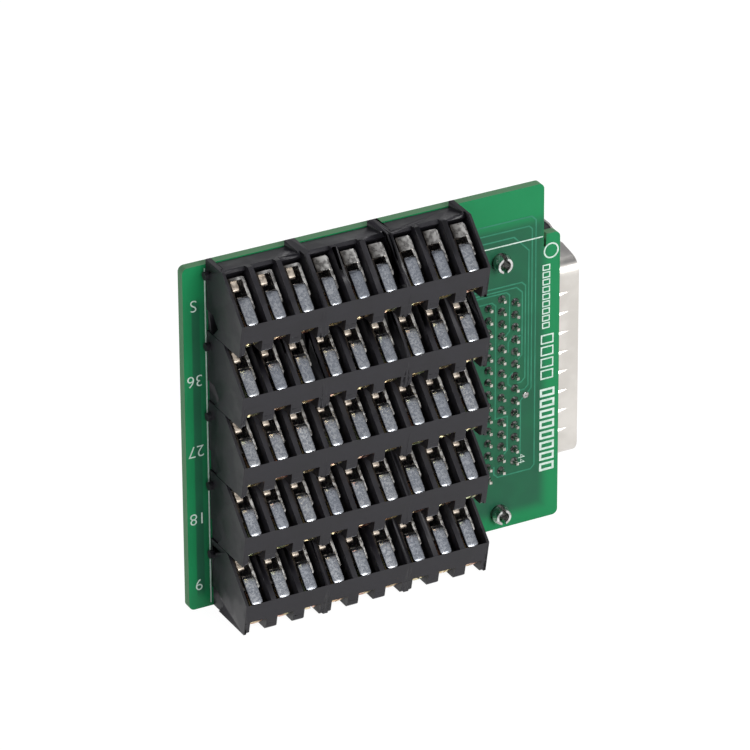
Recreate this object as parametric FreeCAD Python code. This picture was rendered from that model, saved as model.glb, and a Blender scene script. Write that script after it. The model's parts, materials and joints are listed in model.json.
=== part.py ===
import FreeCAD, Part
import math
import os

# A breakout board that stands on its lower edge. X runs along the board to the right,
# Y runs from its front to its back and Z runs up. All sizes are in millimetres.
# Shapes are made in the board's frame, whose origin is the lower left corner of the
# board's front face, and they are moved to the part's own origin when they are saved.

# Circuit board
BOARD_WIDTH = 69.0
BOARD_HEIGHT = 62.5
BOARD_THICKNESS = 1.6
BOARD_CORNER = 1.0
NOTCH_WIDTH = 3.0
NOTCH_HEIGHT = 11.9
HOLE_CLEARANCE = 0.09

# Terminal rows
ROWS = 5
MODULES = 3
MODULE_POLES = 3
POLE_PITCH = 5.0
ROW_PITCH = 12.7
ROW_GAP = 0.1
ROW_DEPTH = 12.55
TOP_DEPTH = 5.9
BLOCK_LEFT = 4.2

# Housing walls
SIDE_WALL = 0.45
LINTEL_RECESS = 1.0
TOP_SLOPE = 1.1
RIB_WIDTH = 0.9
FOOT_RELIEF = 1.2
FOOT_RELIEF_DEPTH = 4.4
PEG_RADIUS = 0.7
PEG_HEIGHT = 0.8
PEG_DROP = 2.5
PEG_STEP = 0.9
PEG_FIT = 0.05
END_RECESS = 0.25
END_RECESS_WIDTH = 2.3
END_RECESS_SLANT = 1.8

# Wire cage, measured along the slanted face and down from it
CAGE_DEPTH = 1.5
CAGE_DROP = 0.7
CAGE_WIDTH = 3.1
CAGE_LENGTH = 5.1
CAGE_HEIGHT = 5.8
CAGE_CORNER = 0.4
SHEET = 0.5
THREAD_WALL = 1.0
WIRE_GAP = 2.8
FLAP_WIDTH = 2.4
FLAP_HEIGHT = 2.4
FLAP_THICKNESS = 0.4
FLAP_POLES = range(3, 9)

# Solder tab of the cage
TAB_WIDTH = 0.9
TAB_BEND = 1.2
TAB_TAIL = 1.5
TAB_CLEARANCE = 0.15

# Wire guard
GUARD_THICKNESS = 0.4
GUARD_WIDTH = 2.16
GUARD_LEG_WIDTH = 1.95
GUARD_LENGTH = 4.3
GUARD_BEND = 0.6
GUARD_CORNER = 0.5
GUARD_GAP = 0.1
GUARD_SETBACK = 0.5

# Clamp screw
SHANK_RADIUS = 1.0
THREAD_FIT = 0.04
TIP_GAP = 0.05
TIP_CHAMFER = 0.25
HEAD_RADIUS = 1.65
HEAD_THICKNESS = 1.6
HEAD_CHAMFER = 0.15
HEAD_FIT = 0.1
HEAD_REST = 0.2
SLOT_WIDTH = 0.5
SLOT_DEPTH = 0.7
SLOT_TURN = 137.5

# Connector shell and flange
FLANGE_LENGTH = 53.04
FLANGE_HEIGHT = 12.55
FLANGE_THICKNESS = 0.8
FLANGE_CORNER = 2.0
FLANGE_OVERHANG = 0.25
FLANGE_HOLE_RADIUS = 1.55
SCREW_SPACING = 47.04
SHELL_REACH = 5.9
SHELL_LENGTH = 38.96
SHELL_HEIGHT = 8.36
SHELL_SLANT = 10.0
SHELL_RADIUS = 2.6
SHELL_WALL = 0.4
DIMPLES = 8
DIMPLE_PITCH = 3.65
DIMPLE_LENGTH = 2.8
DIMPLE_WIDTH = 1.3
DIMPLE_DEPTH = 0.3
DIMPLE_START = 1.4

# Connector body
BODY_FIT = 0.05
BODY_LENGTH = 38.4
BODY_DEPTH = 6.5
BODY_STANDOFF = 0.4
BODY_HEIGHT = 11.2
FACE_HEIGHT = 0.8
EAR_THICKNESS = 4.0
EAR_INSET = 0.1
FOOT_WIDTH = 5.8
FOOT_HEIGHT = 4.0
FOOT_LENGTH = 13.4

# Contacts
PIN_RADIUS = 0.38
PIN_SETBACK = 0.9
PIN_TIP = 0.3
PIN_PITCH = 2.29
PIN_ROW_STEP = 1.98
PIN_FIT = 0.02
TAIL_SIDE = 0.5
TAIL_REACH = 1.3
TAIL_STEP = 2.29
TAIL_FIRST = 8.05
TAIL_BEND = 0.8
PIN_COUNTS = (14, 15, 15)
PIN_SHIFTS = (0.25, 0.25, -0.25)

# Boardlocks and threaded inserts
LOCK_RADIUS = 1.5
LOCK_BORE = 0.95
LOCK_FIT = 0.08
LOCK_REACH = 1.9
LOCK_BARB = 0.15
LOCK_SLOT = 0.7
LOCK_HEAD_RADIUS = 2.1
LOCK_HEAD = 0.5
LOCK_SETBACK = 10.45
INSERT_RADIUS = 2.4
INSERT_BORE = 1.2

# How far a cutting tool passes the face that it cuts
CUT_PAST = 3.0

# Worked out from the sizes above
SLOPE = math.sqrt(0.5)
POLES = MODULES * MODULE_POLES
MODULE_WIDTH = MODULE_POLES * POLE_PITCH
ROW_HEIGHT = ROW_PITCH - ROW_GAP
SLOPE_RUN = ROW_DEPTH - TOP_DEPTH
BAND_HEIGHT = ROW_HEIGHT - SLOPE_RUN
SLOPE_LENGTH = SLOPE_RUN / SLOPE
POCKET_WIDTH = POLE_PITCH - 2 * SIDE_WALL
POCKET_DEPTH = CAGE_DEPTH + CAGE_LENGTH
SCREW_DEPTH = CAGE_DEPTH + CAGE_LENGTH / 2
BORE_RADIUS = HEAD_RADIUS + HEAD_FIT
GUARD_TOP = CAGE_DROP + SHEET + WIRE_GAP
SCREW_TIP = GUARD_TOP + GUARD_THICKNESS + TIP_GAP
HEAD_FACE = (ROW_HEIGHT - HEAD_REST) / SLOPE - SCREW_DEPTH - HEAD_RADIUS
FLANGE_FRONT = BOARD_WIDTH + FLANGE_OVERHANG
FLANGE_BACK = FLANGE_FRONT - FLANGE_THICKNESS
SHELL_RIM = FLANGE_FRONT + SHELL_REACH
BODY_BACK = FLANGE_BACK - BODY_DEPTH
PLUG_Y = BOARD_THICKNESS + FLANGE_HEIGHT / 2
PLUG_Z = FLANGE_LENGTH / 2
LOCK_X = FLANGE_BACK - LOCK_SETBACK
ORIGIN = FreeCAD.Vector(SHELL_RIM / 2, (BOARD_THICKNESS + FLANGE_HEIGHT - ROW_DEPTH) / 2, 0)
ALONG_X = FreeCAD.Vector(1, 0, 0)
ALONG_Y = FreeCAD.Vector(0, 1, 0)
INTO_SCREW = FreeCAD.Vector(0, SLOPE, SLOPE)


def slope_point(x, depth, down):
    """A point below a row's slanted face: depth under it and down along it from its top edge."""
    y = (depth - down) * SLOPE - TOP_DEPTH
    z = ROW_HEIGHT - (depth + down) * SLOPE
    return FreeCAD.Vector(x, y, z)


def prism(corners, sweep):
    """A solid made by moving a flat outline along a vector."""
    wire = Part.makePolygon(corners + corners[:1])
    return Part.Face(wire).extrude(sweep)


def side_prism(outline, left, right):
    """A side view, as points of y and z, carried from left to right."""
    corners = [FreeCAD.Vector(left, y, z) for y, z in outline]
    return prism(corners, ALONG_X * (right - left))


def slope_prism(outline, width):
    """A side view in depth and down, carried over a width centred on the pole."""
    corners = [slope_point(-width / 2, depth, down) for depth, down in outline]
    return prism(corners, ALONG_X * width)


def slope_block(width, near, far, top, bottom):
    """A block under the slanted face, from near to far in depth and from top to bottom along it."""
    return slope_prism([(near, top), (far, top), (far, bottom), (near, bottom)], width)


def slope_cylinder(radius, top, bottom):
    """A round bar on the clamp screw's axis."""
    start = slope_point(0, SCREW_DEPTH, bottom)
    return Part.makeCylinder(radius, bottom - top, start, INTO_SCREW)


def box(low, high):
    """A box between two corners."""
    size = [b - a for a, b in zip(low, high)]
    return Part.makeBox(*size, FreeCAD.Vector(*low))


def moved(shape, x=0.0, y=0.0, z=0.0):
    """A copy of a shape at another place."""
    copy = shape.copy()
    copy.translate(FreeCAD.Vector(x, y, z))
    return copy


def offset_path(path, distance):
    """A bent line beside a path, with its corners mitred."""
    normals = []
    for (a, b), (c, d) in zip(path, path[1:]):
        length = math.hypot(c - a, d - b)
        normals.append(((b - d) / length, (c - a) / length))
    line = []
    for index, (u, v) in enumerate(path):
        before = normals[max(index - 1, 0)]
        after = normals[min(index, len(normals) - 1)]
        share = distance / (1 + before[0] * after[0] + before[1] * after[1])
        line.append((u + (before[0] + after[0]) * share, v + (before[1] + after[1]) * share))
    return line


def strip(path, thickness):
    """The outline of a bent sheet seen on its edge."""
    return offset_path(path, thickness / 2) + offset_path(path, -thickness / 2)[::-1]


def edges_along(shape, direction):
    """The straight edges of a shape that run along a direction."""
    found = []
    for edge in shape.Edges:
        run = edge.Vertexes[-1].Point - edge.Vertexes[0].Point
        if run.Length > 0 and run.cross(direction).Length < 1e-6 * run.Length:
            found.append(edge)
    return found


def row_places():
    """The height of the foot of each row, from the lowest up."""
    return [row * ROW_PITCH for row in range(ROWS)]


def pole_places():
    """The middle of each pole along a row, from the left."""
    return [BLOCK_LEFT + (pole + 0.5) * POLE_PITCH for pole in range(POLES)]


def terminal_number(row, pole):
    """Terminals are numbered from the lowest row up, and from right to left in a row."""
    return row * POLES + POLES - pole


def tab_path(start):
    """The middle of the solder tab's sheet, from a depth in the cage to its end behind the board."""
    down = CAGE_DROP + SHEET / 2
    first = slope_point(0, start, down)
    bend = slope_point(0, (TOP_DEPTH - TAB_BEND) / SLOPE + down, down)
    return [(first.y, first.z), (bend.y, bend.z), (BOARD_THICKNESS + TAB_TAIL, bend.z)]


def pole_opening():
    """What is open in a housing at one pole: recess, pocket, screw bore and tab channel."""
    recess = slope_block(POCKET_WIDTH, -CUT_PAST, LINTEL_RECESS, -CUT_PAST, 0)
    pocket = slope_block(POCKET_WIDTH, -CUT_PAST, POCKET_DEPTH, 0, SLOPE_LENGTH)
    bore = slope_cylinder(BORE_RADIUS, SLOPE_LENGTH - HEAD_FIT, HEAD_FACE + CUT_PAST)
    channel_side = strip(tab_path(POCKET_DEPTH - SHEET), SHEET + 2 * TAB_CLEARANCE)
    channel_width = TAB_WIDTH + 2 * TAB_CLEARANCE
    channel = side_prism(channel_side, -channel_width / 2, channel_width / 2)
    return [recess, pocket, bore, channel]


def housing_module():
    """A three-pole housing with its left end at x = 0."""
    side = [
        (0, 0),
        (-ROW_DEPTH, 0),
        (-ROW_DEPTH, BAND_HEIGHT),
        (-TOP_DEPTH, ROW_HEIGHT),
        (0, ROW_HEIGHT),
    ]
    body = side_prism(side, 0, MODULE_WIDTH)
    peg_y = -PEG_STEP
    peg_z = ROW_HEIGHT - PEG_DROP
    peg = Part.makeCylinder(PEG_RADIUS, PEG_HEIGHT, FreeCAD.Vector(-PEG_HEIGHT, peg_y, peg_z), ALONG_X)
    socket_depth = PEG_HEIGHT + PEG_FIT
    socket_start = FreeCAD.Vector(MODULE_WIDTH - socket_depth, peg_y, peg_z)
    socket = Part.makeCylinder(PEG_RADIUS + PEG_FIT, socket_depth, socket_start, ALONG_X)
    sloped_top = side_prism(
        [(0, ROW_HEIGHT), (0, ROW_HEIGHT - TOP_SLOPE), (-TOP_DEPTH, ROW_HEIGHT)],
        RIB_WIDTH,
        MODULE_WIDTH - RIB_WIDTH,
    )
    foot = box(
        (SIDE_WALL, -ROW_DEPTH - CUT_PAST, -CUT_PAST),
        (MODULE_WIDTH - SIDE_WALL, FOOT_RELIEF_DEPTH - ROW_DEPTH, FOOT_RELIEF),
    )
    slant = END_RECESS_SLANT
    low_step = side_prism(
        [
            (0, 0),
            (-END_RECESS_WIDTH, 0),
            (-END_RECESS_WIDTH - slant, slant),
            (-END_RECESS_WIDTH, 2 * slant),
            (0, 2 * slant),
        ],
        0,
        END_RECESS,
    )
    cuts = [socket, sloped_top, foot, low_step]
    for pole in range(MODULE_POLES):
        middle = (pole + 0.5) * POLE_PITCH
        cuts += [moved(shape, x=middle) for shape in pole_opening()]
    return body.fuse(peg).cut(cuts).removeSplitter()


def housing_row(module, foot_height):
    """The modules of one row, side by side and pegged together."""
    return [
        moved(module, x=BLOCK_LEFT + index * MODULE_WIDTH, z=foot_height)
        for index in range(MODULES)
    ]


def wire_cage(with_flap):
    """A folded sheet ring that the wire enters, with a tapped wall below and a solder tab behind."""
    back = CAGE_DEPTH + CAGE_LENGTH
    bottom = CAGE_DROP + CAGE_HEIGHT
    ring = slope_block(CAGE_WIDTH, CAGE_DEPTH, back, CAGE_DROP, bottom)
    run = slope_point(0, 1, 0) - slope_point(0, 0, 0)
    ring = ring.makeFillet(CAGE_CORNER, edges_along(ring, run))
    inside = slope_block(
        CAGE_WIDTH - 2 * SHEET,
        CAGE_DEPTH - CUT_PAST,
        back + CUT_PAST,
        CAGE_DROP + SHEET,
        bottom - THREAD_WALL,
    )
    thread = slope_cylinder(SHANK_RADIUS + THREAD_FIT, bottom - THREAD_WALL - SHEET, bottom + SHEET)
    tab = side_prism(strip(tab_path(back - SHEET), SHEET), -TAB_WIDTH / 2, TAB_WIDTH / 2)
    cage = ring.cut([inside, thread]).fuse(tab)
    if with_flap:
        flap = slope_block(
            FLAP_WIDTH,
            CAGE_DEPTH - FLAP_THICKNESS,
            CAGE_DEPTH,
            CAGE_DROP,
            CAGE_DROP + FLAP_HEIGHT,
        )
        cage = cage.fuse(moved(flap, x=(FLAP_WIDTH - CAGE_WIDTH) / 2 + SHEET / 2))
    return cage.removeSplitter()


def wire_guard():
    """A bent leaf: its leg lies on the screw's tip and its plate hangs in front of the cage."""
    plate_depth = CAGE_DEPTH - GUARD_GAP - GUARD_THICKNESS / 2
    leg = GUARD_TOP + GUARD_THICKNESS / 2
    leg_end = CAGE_DEPTH + CAGE_LENGTH - GUARD_SETBACK
    path = [
        (plate_depth, GUARD_TOP + GUARD_LENGTH),
        (plate_depth, leg + GUARD_BEND),
        (plate_depth + GUARD_BEND, leg),
        (leg_end, leg),
    ]
    leaf = slope_prism(strip(path, GUARD_THICKNESS), GUARD_WIDTH)
    leg_area = (CAGE_DEPTH - GUARD_GAP, leg_end, GUARD_TOP, GUARD_TOP + GUARD_LENGTH)
    leaf = leaf.cut(slope_block(GUARD_WIDTH, *leg_area).cut(slope_block(GUARD_LEG_WIDTH, *leg_area)))
    through = slope_point(0, 1, 0) - slope_point(0, 0, 0)
    end = slope_point(0, plate_depth, GUARD_TOP + GUARD_LENGTH)
    corners = [
        edge
        for edge in edges_along(leaf, through)
        if abs((edge.CenterOfMass - end).dot(INTO_SCREW)) < GUARD_THICKNESS / 2
    ]
    return leaf.makeFillet(GUARD_CORNER, corners)


def clamp_screw(turn):
    """A slotted clamp screw in its place at a pole, with its slot turned by an angle."""
    length = HEAD_FACE - SCREW_TIP
    outline = [
        (0, 0),
        (HEAD_RADIUS - HEAD_CHAMFER, 0),
        (HEAD_RADIUS, HEAD_CHAMFER),
        (HEAD_RADIUS, HEAD_THICKNESS),
        (SHANK_RADIUS, HEAD_THICKNESS),
        (SHANK_RADIUS, length - TIP_CHAMFER),
        (SHANK_RADIUS - TIP_CHAMFER, length),
        (0, length),
    ]
    corners = [FreeCAD.Vector(radius, 0, height) for radius, height in outline]
    half = Part.Face(Part.makePolygon(corners + corners[:1]))
    screw = half.revolve(FreeCAD.Vector(0, 0, 0), FreeCAD.Vector(0, 0, 1), 360)
    slot = box(
        (-HEAD_RADIUS - CUT_PAST, -SLOT_WIDTH / 2, -CUT_PAST),
        (HEAD_RADIUS + CUT_PAST, SLOT_WIDTH / 2, SLOT_DEPTH),
    )
    screw = screw.cut(slot)
    spin = FreeCAD.Rotation(FreeCAD.Vector(0, 0, 1), turn)
    tilt = FreeCAD.Rotation(FreeCAD.Vector(0, 0, 1), INTO_SCREW)
    screw.Placement = FreeCAD.Placement(slope_point(0, SCREW_DEPTH, HEAD_FACE), tilt.multiply(spin))
    return screw


def contact_places():
    """Row index and height of each of the plug's contacts."""
    places = []
    for row, (count, shift) in enumerate(zip(PIN_COUNTS, PIN_SHIFTS)):
        for index in range(count):
            places.append((row, PLUG_Z + (shift + index - (count - 1) / 2) * PIN_PITCH))
    return places


def contact_y(row):
    """How far back a row of contacts lies."""
    return PLUG_Y + (row - 1) * PIN_ROW_STEP


def tail_x(row):
    """The column in which the tails of a row pass the board."""
    return FLANGE_BACK - TAIL_FIRST - row * TAIL_STEP


def lock_places():
    """The heights of the two boardlocks and flange holes."""
    return [PLUG_Z - SCREW_SPACING / 2, PLUG_Z + SCREW_SPACING / 2]


def board_hole(x, z, radius):
    """A drill through the board."""
    start = FreeCAD.Vector(x, -CUT_PAST, z)
    return Part.makeCylinder(radius, BOARD_THICKNESS + 2 * CUT_PAST, start, ALONG_Y)


def circuit_board():
    """The notched board with every hole that a tab, tail or boardlock passes."""
    ledge = BOARD_HEIGHT - NOTCH_HEIGHT
    outline = [
        (0, 0),
        (BOARD_WIDTH, 0),
        (BOARD_WIDTH, ledge),
        (BOARD_WIDTH - NOTCH_WIDTH, ledge),
        (BOARD_WIDTH - NOTCH_WIDTH, BOARD_HEIGHT),
        (0, BOARD_HEIGHT),
    ]
    corners = [FreeCAD.Vector(x, 0, z) for x, z in outline]
    board = prism(corners, ALONG_Y * BOARD_THICKNESS)
    board = board.makeFillet(BOARD_CORNER, edges_along(board, ALONG_Y))
    tab_radius = math.hypot(TAB_WIDTH, SHEET) / 2 + HOLE_CLEARANCE
    tail_radius = TAIL_SIDE * SLOPE + HOLE_CLEARANCE
    tab_height = tab_path(0)[-1][1]
    holes = [
        board_hole(x, foot + tab_height, tab_radius)
        for foot in row_places()
        for x in pole_places()
    ]
    holes += [board_hole(tail_x(row), z, tail_radius) for row, z in contact_places()]
    holes += [board_hole(LOCK_X, z, LOCK_RADIUS + LOCK_FIT) for z in lock_places()]
    return board.cut(holes)


def plug_block(inset, left, right):
    """A bar with the plug's rounded, slanted outline, drawn in by an inset."""
    near = PLUG_Y - SHELL_HEIGHT / 2 + inset
    far = PLUG_Y + SHELL_HEIGHT / 2 - inset
    slant = math.radians(SHELL_SLANT)
    side = inset / math.cos(slant) + inset * math.tan(slant)
    far_half = SHELL_LENGTH / 2 - side
    near_half = far_half - (far - near) * math.tan(slant)
    outline = [
        (near, PLUG_Z - near_half),
        (far, PLUG_Z - far_half),
        (far, PLUG_Z + far_half),
        (near, PLUG_Z + near_half),
    ]
    bar = side_prism(outline, left, right)
    return bar.makeFillet(SHELL_RADIUS - inset, edges_along(bar, ALONG_X))


def dimple(face, inward, z):
    """A groove pressed into a long side of the shell, as a bar with its point inward."""
    left = FLANGE_FRONT + DIMPLE_START
    outline = [
        (face, z - DIMPLE_WIDTH / 2),
        (face + inward * DIMPLE_DEPTH, z),
        (face, z + DIMPLE_WIDTH / 2),
    ]
    return side_prism(outline, left, left + DIMPLE_LENGTH)


def connector_shell():
    """The drawn steel flange and shell of the plug, with its dimples and screw holes."""
    plate = box(
        (FLANGE_BACK, BOARD_THICKNESS, 0),
        (FLANGE_FRONT, BOARD_THICKNESS + FLANGE_HEIGHT, FLANGE_LENGTH),
    )
    plate = plate.makeFillet(FLANGE_CORNER, edges_along(plate, ALONG_X))
    shell = plate.fuse(plug_block(0, FLANGE_BACK, SHELL_RIM))
    cuts = [plug_block(SHELL_WALL, FLANGE_BACK - CUT_PAST, SHELL_RIM + CUT_PAST)]
    for z in lock_places():
        start = FreeCAD.Vector(FLANGE_BACK - CUT_PAST, PLUG_Y, z)
        cuts.append(Part.makeCylinder(FLANGE_HOLE_RADIUS, 2 * CUT_PAST, start, ALONG_X))
    bumps = []
    for inward in (1, -1):
        face = PLUG_Y - inward * SHELL_HEIGHT / 2
        for index in range(DIMPLES):
            z = PLUG_Z + (index - (DIMPLES - 1) / 2) * DIMPLE_PITCH
            cuts.append(dimple(face, inward, z))
            bumps.append(dimple(face + inward * SHELL_WALL, inward, z))
    return shell.cut(cuts).fuse(bumps).removeSplitter()


def connector_body():
    """The moulded insulator: ears behind the flange, a face in the shell, a block and two feet."""
    ear_back = FLANGE_BACK - EAR_THICKNESS
    ears = box(
        (ear_back, BOARD_THICKNESS, EAR_INSET),
        (FLANGE_BACK, BOARD_THICKNESS + FLANGE_HEIGHT - EAR_INSET, FLANGE_LENGTH - EAR_INSET),
    )
    ears = ears.makeFillet(FLANGE_CORNER, edges_along(ears, ALONG_X))
    block_front = BOARD_THICKNESS + BODY_STANDOFF
    block = box(
        (BODY_BACK, block_front, PLUG_Z - BODY_LENGTH / 2),
        (FLANGE_BACK, block_front + BODY_HEIGHT, PLUG_Z + BODY_LENGTH / 2),
    )
    face = plug_block(SHELL_WALL + BODY_FIT, FLANGE_BACK, FLANGE_FRONT + FACE_HEIGHT)
    feet = [
        box(
            (FLANGE_BACK - FOOT_LENGTH, BOARD_THICKNESS, z - FOOT_WIDTH / 2),
            (ear_back, BOARD_THICKNESS + FOOT_HEIGHT, z + FOOT_WIDTH / 2),
        )
        for z in lock_places()
    ]
    cuts = []
    for z in lock_places():
        cuts.append(board_hole(LOCK_X, z, LOCK_RADIUS + LOCK_FIT))
        cuts.append(moved(board_hole(LOCK_X, z, LOCK_RADIUS + LOCK_FIT), y=FOOT_HEIGHT))
        start = FreeCAD.Vector(ear_back, PLUG_Y, z)
        cuts.append(Part.makeCylinder(INSERT_RADIUS, EAR_THICKNESS, start, ALONG_X))
    for row, z in contact_places():
        start = FreeCAD.Vector(BODY_BACK, contact_y(row), z)
        depth = FLANGE_FRONT + FACE_HEIGHT - BODY_BACK
        cuts.append(Part.makeCylinder(PIN_RADIUS + PIN_FIT, depth, start, ALONG_X))
    return ears.fuse([block, face] + feet).cut(cuts).removeSplitter()


def contact(row, z):
    """One contact: a round mating pin that goes over into a square tail bent to the board."""
    y = contact_y(row)
    column = tail_x(row)
    tip = SHELL_RIM - PIN_SETBACK
    shaft_end = tip - PIN_TIP
    pin = Part.makeCylinder(PIN_RADIUS, shaft_end - BODY_BACK, FreeCAD.Vector(BODY_BACK, y, z), ALONG_X)
    point = Part.makeCone(PIN_RADIUS, PIN_RADIUS / 2, PIN_TIP, FreeCAD.Vector(shaft_end, y, z), ALONG_X)
    path = [
        (BODY_BACK + TAIL_SIDE, y),
        (column + TAIL_BEND, y),
        (column, y - TAIL_BEND),
        (column, -TAIL_REACH),
    ]
    corners = [FreeCAD.Vector(u, v, z - TAIL_SIDE / 2) for u, v in strip(path, TAIL_SIDE)]
    tail = prism(corners, FreeCAD.Vector(0, 0, TAIL_SIDE))
    return pin.fuse([point, tail]).removeSplitter()


def boardlock(z):
    """A split post that snaps through the board, with its head on the foot of the body."""
    top = BOARD_THICKNESS + FOOT_HEIGHT
    outline = [
        (LOCK_BORE, -LOCK_REACH),
        (LOCK_RADIUS - LOCK_BARB, -LOCK_REACH),
        (LOCK_RADIUS + LOCK_BARB, -LOCK_REACH / 2),
        (LOCK_RADIUS, -LOCK_BARB),
        (LOCK_RADIUS, top),
        (LOCK_HEAD_RADIUS, top),
        (LOCK_HEAD_RADIUS, top + LOCK_HEAD),
        (LOCK_BORE, top + LOCK_HEAD),
    ]
    corners = [FreeCAD.Vector(radius, y, 0) for radius, y in outline]
    half = Part.Face(Part.makePolygon(corners + corners[:1]))
    post = half.revolve(FreeCAD.Vector(0, 0, 0), ALONG_Y, 360)
    slit = box(
        (-LOCK_SLOT / 2, -LOCK_REACH - CUT_PAST, -LOCK_HEAD_RADIUS),
        (LOCK_SLOT / 2, BOARD_THICKNESS, LOCK_HEAD_RADIUS),
    )
    return moved(post.cut(slit), x=LOCK_X, z=z)


def threaded_insert(z):
    """A bushing behind a flange hole."""
    start = FreeCAD.Vector(FLANGE_BACK - EAR_THICKNESS, PLUG_Y, z)
    outer = Part.makeCylinder(INSERT_RADIUS, EAR_THICKNESS, start, ALONG_X)
    return outer.cut(Part.makeCylinder(INSERT_BORE, EAR_THICKNESS, start, ALONG_X))


def save(name, shapes):
    """Move one node's solids to the part's origin and write them."""
    group = Part.makeCompound(shapes) if len(shapes) > 1 else shapes[0]
    moved(group, x=-ORIGIN.x, y=-ORIGIN.y, z=-ORIGIN.z).exportStep("parts/" + name + ".step")


def at_poles(shape, foot):
    """Copies of a shape at every pole of the row with its foot at a height."""
    return [moved(shape, x=x, z=foot) for x in pole_places()]


os.makedirs("parts", exist_ok=True)
save("circuit_board", [circuit_board()])

module = housing_module()
plain_cage = wire_cage(False)
flap_cage = wire_cage(True)
guard = wire_guard()
cages = []
guards = []
for row, foot in enumerate(row_places()):
    save("housing_row_" + str(row + 1), housing_row(module, foot))
    guards += at_poles(guard, foot)
    for pole, x in enumerate(pole_places()):
        flapped = row == ROWS - 1 and pole in FLAP_POLES
        cages.append(moved(flap_cage if flapped else plain_cage, x=x, z=foot))
        number = terminal_number(row, pole)
        screw = clamp_screw(number * SLOT_TURN)
        save("terminal_screw_" + str(number), [moved(screw, x=x, z=foot)])
save("wire_cages", cages)
save("wire_guards", guards)

save("connector_shell", [connector_shell()])
save("connector_body", [connector_body()])
save("connector_contacts", [contact(row, z) for row, z in contact_places()])
save("boardlocks", [boardlock(z) for z in lock_places()])
save("threaded_inserts", [threaded_insert(z) for z in lock_places()])
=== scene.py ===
import json
import logging
import math
from collections.abc import Sequence
from dataclasses import dataclass, field
from enum import Enum
from functools import lru_cache

import bmesh
import bpy
import numpy as np
from mathutils import Matrix, Vector


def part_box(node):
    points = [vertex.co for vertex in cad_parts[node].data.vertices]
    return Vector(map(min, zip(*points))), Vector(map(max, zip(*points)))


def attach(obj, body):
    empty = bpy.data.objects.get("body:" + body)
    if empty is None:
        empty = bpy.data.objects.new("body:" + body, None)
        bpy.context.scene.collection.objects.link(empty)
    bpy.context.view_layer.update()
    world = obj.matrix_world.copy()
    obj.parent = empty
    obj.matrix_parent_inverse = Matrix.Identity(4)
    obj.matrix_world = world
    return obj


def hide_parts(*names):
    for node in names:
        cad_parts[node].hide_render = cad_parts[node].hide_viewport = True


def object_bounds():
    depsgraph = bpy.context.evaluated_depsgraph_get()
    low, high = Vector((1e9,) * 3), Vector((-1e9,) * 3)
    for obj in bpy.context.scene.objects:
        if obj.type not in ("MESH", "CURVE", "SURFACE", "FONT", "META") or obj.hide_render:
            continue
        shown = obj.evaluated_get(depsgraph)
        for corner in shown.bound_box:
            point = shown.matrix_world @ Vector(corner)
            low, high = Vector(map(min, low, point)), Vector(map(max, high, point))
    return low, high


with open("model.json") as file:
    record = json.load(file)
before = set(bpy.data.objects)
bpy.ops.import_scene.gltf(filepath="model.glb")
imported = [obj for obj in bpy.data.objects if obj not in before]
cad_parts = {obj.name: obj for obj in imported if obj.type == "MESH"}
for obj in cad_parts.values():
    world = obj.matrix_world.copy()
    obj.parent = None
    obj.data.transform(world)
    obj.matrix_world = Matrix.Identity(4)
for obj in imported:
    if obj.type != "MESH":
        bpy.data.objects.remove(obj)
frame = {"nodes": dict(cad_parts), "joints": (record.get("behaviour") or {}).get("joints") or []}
CAD_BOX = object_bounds()

# Sizes are written in millimetres, and MM turns them into the frame's metres.
# X runs along the board, Y from its front to its back and Z up.
MM = 0.001
SLOPE = math.sqrt(0.5)
SCREW_AXIS = np.array((0.0, SLOPE, SLOPE))
# Points nearer than WELD are merged, and faces that bend by less than FLAT are joined.
WELD = 0.0005 * MM
FLAT = math.radians(0.5)
# Nearly all of a noise texture's values lie between these two.
NOISE_RANGE = (0.3, 0.7)
BODY = "board"
SEED = 45
log = logging.getLogger("breakout_board")


class Turn(Enum):
    """Which way a printed number stands on the board."""

    UPSIDE_DOWN = 180.0
    READS_DOWN = -90.0


def quad_grid(rows: int, columns: int) -> np.ndarray:
    """Faces of a grid whose columns close on themselves.

    Cell (i, j) joins points (i, j), (i, j + 1), (i + 1, j + 1) and (i + 1, j), with j taken
    modulo the number of columns.

    Args:
        rows: Number of sections.
        columns: Number of points round one section.

    Returns:
        Vertex numbers, four for each face.
    """
    i, j = np.meshgrid(np.arange(rows - 1), np.arange(columns), indexing="ij")
    after = (j + 1) % columns
    here, above = i * columns, (i + 1) * columns
    return np.stack((here + j, here + after, above + after, above + j), axis=-1).reshape(-1, 4)


def closed_tubes(sections: np.ndarray) -> tuple[np.ndarray, list[list[int]]]:
    """Points and faces of like tubes, each closed by a flat face at either end.

    Args:
        sections: Points in the order tube, section, point round the section, coordinate.

    Returns:
        All the points, and all the faces as lists of vertex numbers.
    """
    tubes, rows, columns, _ = sections.shape
    side = quad_grid(rows, columns)
    first = np.arange(columns)[::-1]
    last = np.arange(columns) + (rows - 1) * columns
    starts = np.arange(tubes) * rows * columns
    faces = (side[None] + starts[:, None, None]).reshape(-1, 4).tolist()
    faces += (first[None] + starts[:, None]).tolist()
    faces += (last[None] + starts[:, None]).tolist()
    return sections.reshape(-1, 3), faces


def mesh_points(mesh: bpy.types.Mesh) -> np.ndarray:
    """Read a mesh's points, one row for each."""
    flat = np.empty(len(mesh.vertices) * 3, np.float32)
    mesh.vertices.foreach_get("co", flat)
    return flat.reshape(-1, 3)


def mark_points(mesh: bpy.types.Mesh, name: str, values: np.ndarray) -> None:
    """Give each point of a mesh a number that its finish reads by name.

    Args:
        mesh: The mesh.
        name: The name that the finish reads.
        values: One number for each point.
    """
    layer = mesh.attributes.new(name, "FLOAT", "POINT")
    layer.data.foreach_set("value", values.astype(np.float32))


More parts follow.
